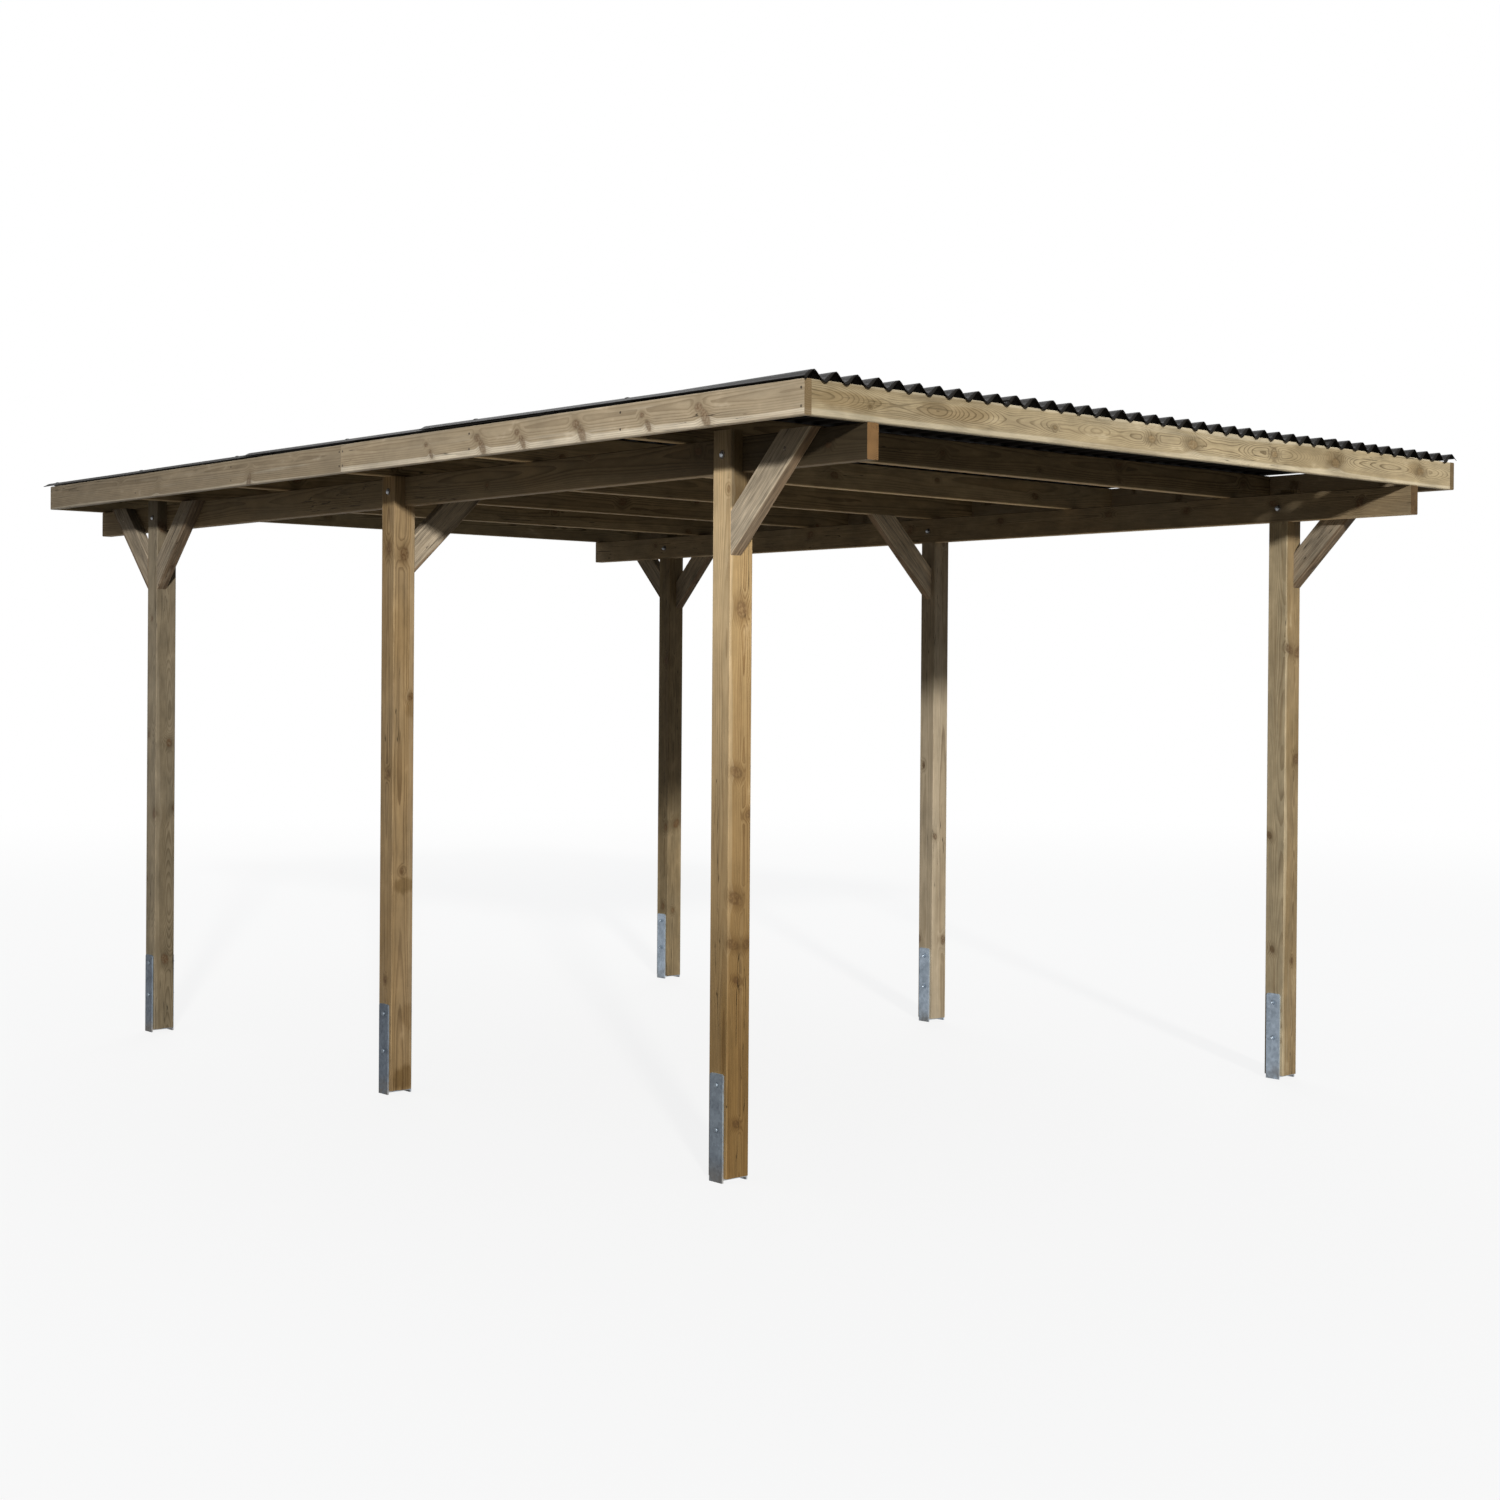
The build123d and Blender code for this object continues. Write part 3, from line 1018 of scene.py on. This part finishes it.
    def dress(self) -> None:
        """Gives every solid of the frame its finish."""
        boards = [*self.posts(), *self.side_boards(), *self.end_boards(),
                  *self.purlins(), *self.braces(), *self.rafter_boards()]
        finishes = {board.node: Wood(board).material() for board in boards}
        for row in SIDES:
            for place in PLACES:
                name = f"{row}_{place}".upper()
                kind = Steel[name if name in Steel.__members__ else row.upper()]
                finishes[f"anchor_{row}_{place}"] = self.steel[kind]
        for name, material in finishes.items():
            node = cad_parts[name]
            node.data.materials.clear()
            node.data.materials.append(material)
            log.info("solid %s: %s", name, material.name)

    def bolt(self) -> None:
        """Adds the bolts of the post heads and the anchors."""
        for row, side in SIDES.items():
            seat = box_of(f"purlin_{row}")
            rise = seat[0].z + self.head_bolt_rise
            inside = seat[0 if row == "right" else 1].x
            for place in PLACES:
                post = f"post_{row}_{place}"
                y = sum(corner.y for corner in box_of(post)) / 2
                head = [((outer_face(row, post), y, rise), side, True), ((inside, y, rise), -side, False)]
                self.hardware.through_bolts(f"head_bolt_{row}_{place}", head, self.hardware.zinc, washers=True)
                low, high = box_of(f"anchor_{row}_{place}")
                ends = [((x, y, high.z - drop), way, way == side) for drop in self.anchor_bolt_drops
                        for x, way in ((low.x, -ACROSS), (high.x, ACROSS))]
                steel = self.steel[Steel[f"{row.upper()}_BOLTS"]]
                self.hardware.through_bolts(f"anchor_bolts_{row}_{place}", ends, steel, washers=False)

    def board_nails(self, row: str) -> list[tuple[Point, Vector]]:
        """Finds the nails of the fascia boards of one side.

        Args:
            row: The side.

        Returns:
            For each nail its place and the way its head faces.
        """
        heads = []
        for end, inward in (("front", 1), ("rear", -1)):
            node = f"fascia_{row}_{end}"
            low, high = box_of(node)
            places = [low.y + self.nail_inset if end == "front" else high.y - self.nail_inset]
            for rafter in self.rafters:
                middle = sum(corner.y for corner in box_of(rafter)) / 2
                if min(abs(middle - low.y), abs(middle - high.y)) < self.butt_reach:
                    middle -= inward * self.butt_inset
                if low.y < middle < high.y:
                    places.append(middle)
            face = outer_face(row, node)
            heads += [((face, y, low.z + rise), SIDES[row]) for y in places for rise in self.nail_rises]
        return heads

    def nail(self) -> None:
        """Adds the nails of the fascia boards and the screws of the braces."""
        for row, side in SIDES.items():
            self.hardware.nails(f"fascia_nails_{row}", self.board_nails(row), self.hardware.nail_radius)
            for brace in self.long_braces:
                node = f"brace_{row}_{brace}"
                low, high = box_of(node)
                y = low.y + self.screw_out if brace.endswith("backward") else high.y - self.screw_out
                screw = ((outer_face(row, node), y, low.z + self.screw_up), side)
                self.hardware.nails(f"brace_screw_{row}_{brace}", [screw], self.hardware.screw_radius)


@dataclass
class Sheeting:
    """The lapped corrugated sheets of the roof, with their capped nails."""

    bitumen: bpy.types.Material
    nodes: tuple[str, ...] = tuple(f"roof_sheet_{row}_{column}" for row in PLACES for column in range(1, 5))
    front_corner: str = "roof_sheet_front_4"
    carriers: tuple[str, ...] = (*(f"rafter_{number}" for number in range(1, 6)), "fascia_rear")
    slot: str = "roof_sheet"
    pitch: float = 0.08387
    first_crest: float = -1.6358
    wave: float = 0.0162
    solid_wave: float = 0.018
    thick: float = 0.0025
    steps: int = 20
    bays: int = 12
    lip: float = 0.0095
    lip_shares: tuple[float, ...] = (0.0, 0.0015, 0.003, 0.0045, 0.006)
    # How far the hollows of the front edge are drawn down over the front board: partly a droop, and partly painted
    # shade standing in for the hollows' shadow on the board.
    sag: float = 0.0095
    flare: float = 0.0085
    flare_length: float = 0.7
    edge_lift: float = 0.010
    edge_waves: float = 0.6
    uneven: float = 0.0008
    ragged: float = 0.0012
    crease: float = 1.0
    cap_radius: float = 0.0105
    cap_sink: float = 0.0009

    def wavy(self, x: float, y: float) -> float:
        """How far the sheets stand off a true wave, the same for sheets that lap."""
        return self.uneven * max(0.0, min(1.0, 0.5 + solid_noise.noise(Vector((x * 9.0, y * 1.3, 3.0)))))

    def under(self, node: str, x: float, y: float) -> float:
        """The height of a sheet's underside.

        Args:
            node: The sheet's solid.
            x: The place across the carport.
            y: The place along it.

        Returns:
            The height over the ground.
        """
        low, high = box_of(node)
        tilt = (high.z - low.z - self.solid_wave - self.thick) / (high.y - low.y)
        height = low.z + tilt * (y - low.y)
        crest = 0.5 + 0.5 * math.cos(math.tau * (x - self.first_crest) / self.pitch)
        height += self.wave * crest + self.wavy(x, y)
        if "front" in node:
            over = max(0.0, min(1.0, (low.y + self.lip - y) / self.lip))
            # Partly painted shade: the black hollows of the front lip are drawn down where their shadow on the front
            # board would fall, as well as drooping.
            height -= self.sag * math.sqrt(1 - crest) * over * over * (3 - 2 * over)
            front = max(0.0, 1 - (y - low.y) / self.flare_length)
            height += self.flare * crest * front
            if node == self.front_corner:
                reach = self.pitch * self.edge_waves
                out = max(0.0, (x - high.x + reach) / reach)
                height += self.edge_lift * out * out * front
        return height

    def sheet(self, node: str) -> None:
        """Makes one sheet.

        Args:
            node: The solid that it stands for.
        """
        low, high = box_of(node)
        size = high - low
        columns = round(size.x / self.pitch * self.steps)
        across = [low.x + size.x * column / columns for column in range(columns + 1)]
        shares = [*self.lip_shares, *(bay / self.bays for bay in range(1, self.bays + 1))]
        phase = random.Random(node).uniform(0, 50)
        mesh, sides = bmesh.new(), []
        for lift in (0.0, self.thick):
            sides.append([])
            for share in shares:
                sides[-1].append([])
                for x in across:
                    ragged = self.ragged * (1 + solid_noise.noise(Vector((x * 22, phase, share * 40))))
                    y = low.y + size.y * share + {0.0: ragged, 1.0: -ragged}.get(share, 0.0)
                    sides[-1][-1].append(mesh.verts.new((x, y, self.under(node, x, y) + lift)))
        bottom, top = sides
        last = len(shares) - 1
        for row in range(last):
            for column in range(columns):
                for grid, turn in ((top, 1), (bottom, -1)):
                    near, far = grid[row], grid[row + 1]
                    mesh.faces.new([near[column], near[column + 1], far[column + 1], far[column]][::turn])
            for column, turn in ((0, -1), (columns, 1)):
                corners = [bottom[row][column], bottom[row + 1][column], top[row + 1][column], top[row][column]]
                mesh.faces.new(corners[::turn])
        for column in range(columns):
            for row, turn in ((0, 1), (last, -1)):
                corners = [bottom[row][column], bottom[row][column + 1], top[row][column + 1], top[row][column]]
                mesh.faces.new(corners[::turn])
        for edge in mesh.edges:
            if len(edge.link_faces) == 2 and edge.calc_face_angle() > self.crease:
                edge.smooth = False
        finish_piece(mesh_piece(node.removeprefix("roof_"), mesh), self.bitumen, [node])

    def caps(self) -> None:
        """Makes the capped nails on every second crest over the rafters and the rear board."""
        mesh, r, boxes = bmesh.new(), self.cap_radius, {node: box_of(node) for node in self.nodes}
        outline = [(r, -0.001), (r, 0.0006), (r * 0.75, 0.0012), (r * 0.62, 0.0022), (r * 0.35, 0.0028), (0, 0.003)]
        crests = math.floor((box_of(self.front_corner)[1].x - self.first_crest) / self.pitch) + 1
        for carrier in self.carriers:
            y = sum(corner.y for corner in box_of(carrier)) / 2
            for crest in range(0, crests, 2):
                x = self.first_crest + crest * self.pitch
                tops = [self.under(node, x, y) for node, (low, high) in boxes.items()
                        if low.x <= x <= high.x and low.y <= y <= high.y]
                at = Matrix.Translation((x, y, max(tops) + self.thick - self.cap_sink))
                turned(mesh, outline, at, 14)
        finish_piece(mesh_piece("sheet_nail_caps", mesh), self.bitumen)

    def build(self) -> None:
        """Makes every sheet and its fixings."""
        for node in self.nodes:
            self.sheet(node)
        self.caps()


@dataclass(frozen=True)
class Studio:
    """The floor, the light and the camera."""

    camera_at: Point = (-5.8776, -7.5034, 1.5565)
    yaw: float = 43.068
    pitch: float = -0.327
    roll: float = 0.434
    focal_px: float = 2244.9
    centre_px: tuple[float, float] = (885.0, 698.3)
    image_px: float = 1500.0
    sensor: float = 36.0
    key_from: Point = (-1.905, -3.226, 1.0)
    key_strength: float = 3.3
    key_width: float = 3.0
    key_colour: Colour = (1.0, 0.97, 0.91)
    fill_from: Point = (1.6, 2.0, 1.7)
    fill_strength: float = 0.9
    fill_width: float = 40.0
    fill_colour: Colour = (0.95, 0.97, 1.0)
    sky_low: Colour = (0.13, 0.13, 0.13)
    sky_high: Colour = (0.50, 0.52, 0.55)
    floor_half: float = 60.0
    floor_drop: float = 0.0006
    floor_fade: tuple[float, float] = (6.0, 18.0)
    floor_glow: float = 0.84
    floor_pale: Colour = (0.8, 0.8, 0.8)
    floor_bounce: Colour = (0.24, 0.215, 0.18)

    def camera(self) -> None:
        """Sets the camera."""
        yaw, pitch, roll = (math.radians(angle) for angle in (self.yaw, self.pitch, self.roll))
        ahead = Vector((math.sin(yaw) * math.cos(pitch), math.cos(yaw) * math.cos(pitch), math.sin(pitch)))
        right = Vector((math.cos(yaw), -math.sin(yaw), 0))
        above = right.cross(ahead)
        side = right * math.cos(roll) + above * math.sin(roll)
        head = above * math.cos(roll) - right * math.sin(roll)
        data = bpy.data.cameras.new("camera")
        data.sensor_width = self.sensor
        data.lens = self.focal_px * self.sensor / self.image_px
        data.shift_x = (self.image_px / 2 - self.centre_px[0]) / self.image_px
        data.shift_y = (self.centre_px[1] - self.image_px / 2) / self.image_px
        made = bpy.data.objects.new("camera", data)
        turn = Matrix((side, head, -ahead)).transposed().to_4x4()
        made.matrix_world = Matrix.Translation(self.camera_at) @ turn
        bpy.context.scene.collection.objects.link(made)
        bpy.context.scene.camera = made

    def seen(self, shader: Shader) -> Signal:
        """1 where a ray shows the backdrop itself, or a reflection of it, and 0 where it brings light.

        Args:
            shader: The shader that asks.

        Returns:
            The mask.
        """
        path = shader.node("ShaderNodeLightPath")
        rays = [Signal(shader, path.outputs[f"Is {kind} Ray"]) for kind in ("Camera", "Glossy", "Transmission")]
        return rays[0].most(rays[1]).most(rays[2])

    def sky(self) -> None:
        """Lights the scene from above, with a white backdrop."""
        world = bpy.data.worlds.new("studio")
        world.use_nodes = True
        shader = Shader(world.node_tree)
        direction = shader.node("ShaderNodeTexCoord").outputs["Generated"]
        height = shader.dot(direction, tuple(UP))
        light = shader.mix(height.step(0.0, 0.9), self.sky_low, self.sky_high)
        colour = shader.mix(self.seen(shader), light, (1.0, 1.0, 1.0))
        made = shader.node("ShaderNodeBackground", {}, {"Color": colour, "Strength": 1.0})
        shader.node("ShaderNodeOutputWorld", {}, {"Surface": made.outputs[0]})
        bpy.context.scene.world = world

    def lamp(self, name: str, way: Point, strength: float, width: float, colour: Colour) -> None:
        """Adds a far lamp.

        Args:
            name: The lamp's name.
            way: The direction that it shines from.
            strength: Its strength.
            width: How wide it looks from the carport, in degrees.
            colour: Its colour.
        """
        data = bpy.data.lights.new(name, "SUN")
        data.energy, data.angle, data.color = strength, math.radians(width), colour
        made = bpy.data.objects.new(name, data)
        made.rotation_euler = Vector(way).to_track_quat("Z", "Y").to_euler()
        bpy.context.scene.collection.objects.link(made)

    def floor(self) -> None:
        """Lays the floor, which fades to white far out and keeps the carport's shadow."""
        mesh = bmesh.new()
        bmesh.ops.create_grid(mesh, x_segments=8, y_segments=8, size=self.floor_half)
        made = mesh_piece("floor", mesh, smooth=False)
        made.location.z = -self.floor_drop
        material, shader = new_material("floor_paint")
        at = shader.place()
        far = shader.length(shader.vector("MULTIPLY", at, (1.0, 1.0, 0.0))).step(*self.floor_fade)
        white = shader.node("ShaderNodeEmission", {}, {"Color": (1.0, 1.0, 1.0, 1.0), "Strength": 1.0}).outputs[0]
        pale = shader.node("ShaderNodeBsdfDiffuse", {}, {"Color": (*self.floor_pale, 1.0)}).outputs[0]
        dark = shader.node("ShaderNodeBsdfDiffuse", {}, {"Color": (*self.floor_bounce, 1.0)}).outputs[0]
        glow = self.floor_glow + (1 - self.floor_glow) * far
        shown = shader.node("ShaderNodeMixShader", {}, {0: glow, 1: pale, 2: white}).outputs[0]
        ends = shader.node("ShaderNodeMixShader", {}, {0: self.seen(shader), 1: dark, 2: shown}).outputs[0]
        shader.node("ShaderNodeOutputMaterial", {}, {"Surface": ends})
        made.data.materials.append(material)

    def build(self) -> None:
        """Sets up the studio."""
        bpy.context.scene.view_settings.view_transform = "Standard"
        self.camera()
        self.sky()
        self.lamp("key", self.key_from, self.key_strength, self.key_width, self.key_colour)
        self.lamp("fill", self.fill_from, self.fill_strength, self.fill_width, self.fill_colour)
        self.floor()


def main() -> None:
    """Builds the carport's looks in order."""
    steel = {kind: kind.value.material() for kind in Steel}
    structure = Frame(Hardware(steel[Steel.FITTINGS], steel[Steel.NAILS]), steel)
    structure.dress()
    structure.bolt()
    structure.nail()
    Sheeting(Bitumen("bitumen").material()).build()
    Studio().build()


if __name__ == "__main__":
    main()
